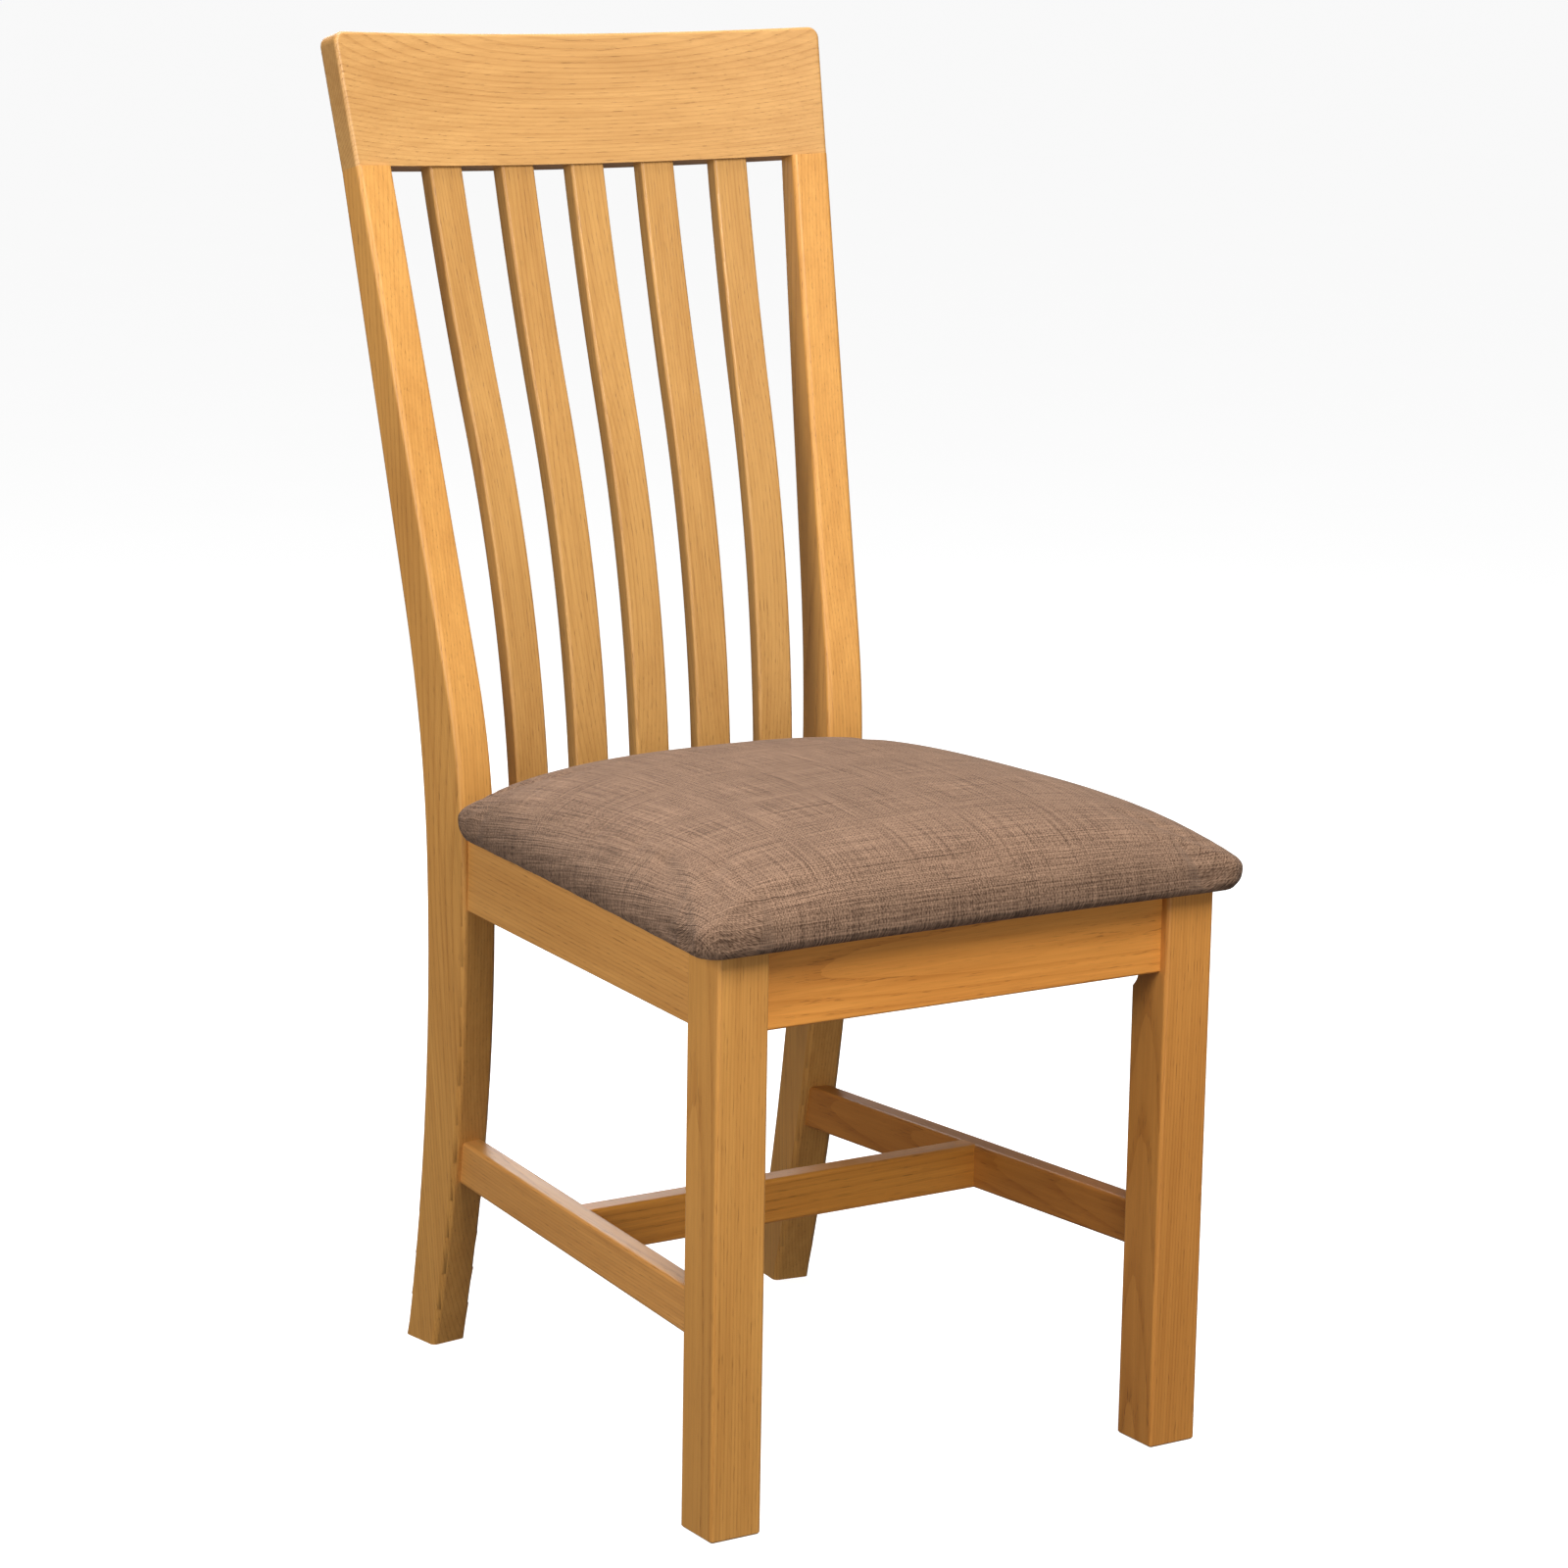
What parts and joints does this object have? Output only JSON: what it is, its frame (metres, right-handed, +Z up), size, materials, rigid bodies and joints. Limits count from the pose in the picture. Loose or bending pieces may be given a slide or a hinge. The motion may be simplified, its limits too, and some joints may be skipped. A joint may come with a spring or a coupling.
{
  "type": "dining chair",
  "caption": "Oak dining chair with sabre back legs, a wide curved crest rail over fanned curved slats, side and cross stretchers and a crowned upholstered seat pad in brown linen-look fabric.",
  "frame": {"origin": "centre of the chair's bounding box in plan, on the floor", "axes": "+Z up from the floor, +Y from the seat's front edge towards the back, +X to the right as seen from the front"},
  "size_m": [0.4728, 0.6217, 1.0407],
  "materials": {
    "oak": "satin",
    "softwood": "raw",
    "beech": "raw",
    "plywood": "raw",
    "screw_steel": "zinc plated",
    "seat_fabric": "linen weave",
    "foam": "foam",
    "lining": "spunbonded, matt"
  },
  "bodies": {
    "root": {"front_leg_left": "oak", "front_leg_right": "oak", "back_leg_left": "oak", "back_leg_right": "oak", "crest_rail": "oak", "slat_1": "oak", "slat_2": "oak", "slat_3": "oak", "slat_4": "oak", "slat_5": "oak", "front_seat_rail": "oak", "rear_seat_rail": "oak", "side_seat_rail_left": "oak", "side_seat_rail_right": "oak", "side_stretcher_left": "oak", "side_stretcher_right": "oak", "cross_stretcher": "oak", "corner_block_front_left": "softwood", "corner_block_front_right": "softwood", "corner_block_rear_left": "softwood", "corner_block_rear_right": "softwood", "corner_block_screws": "screw_steel", "seat_fixing_screws": "screw_steel", "crest_dowels": "beech", "seat_board": "plywood", "seat_foam": "foam", "seat_cover": "seat_fabric", "dust_cover": "lining"}
  },
  "joints": []
}
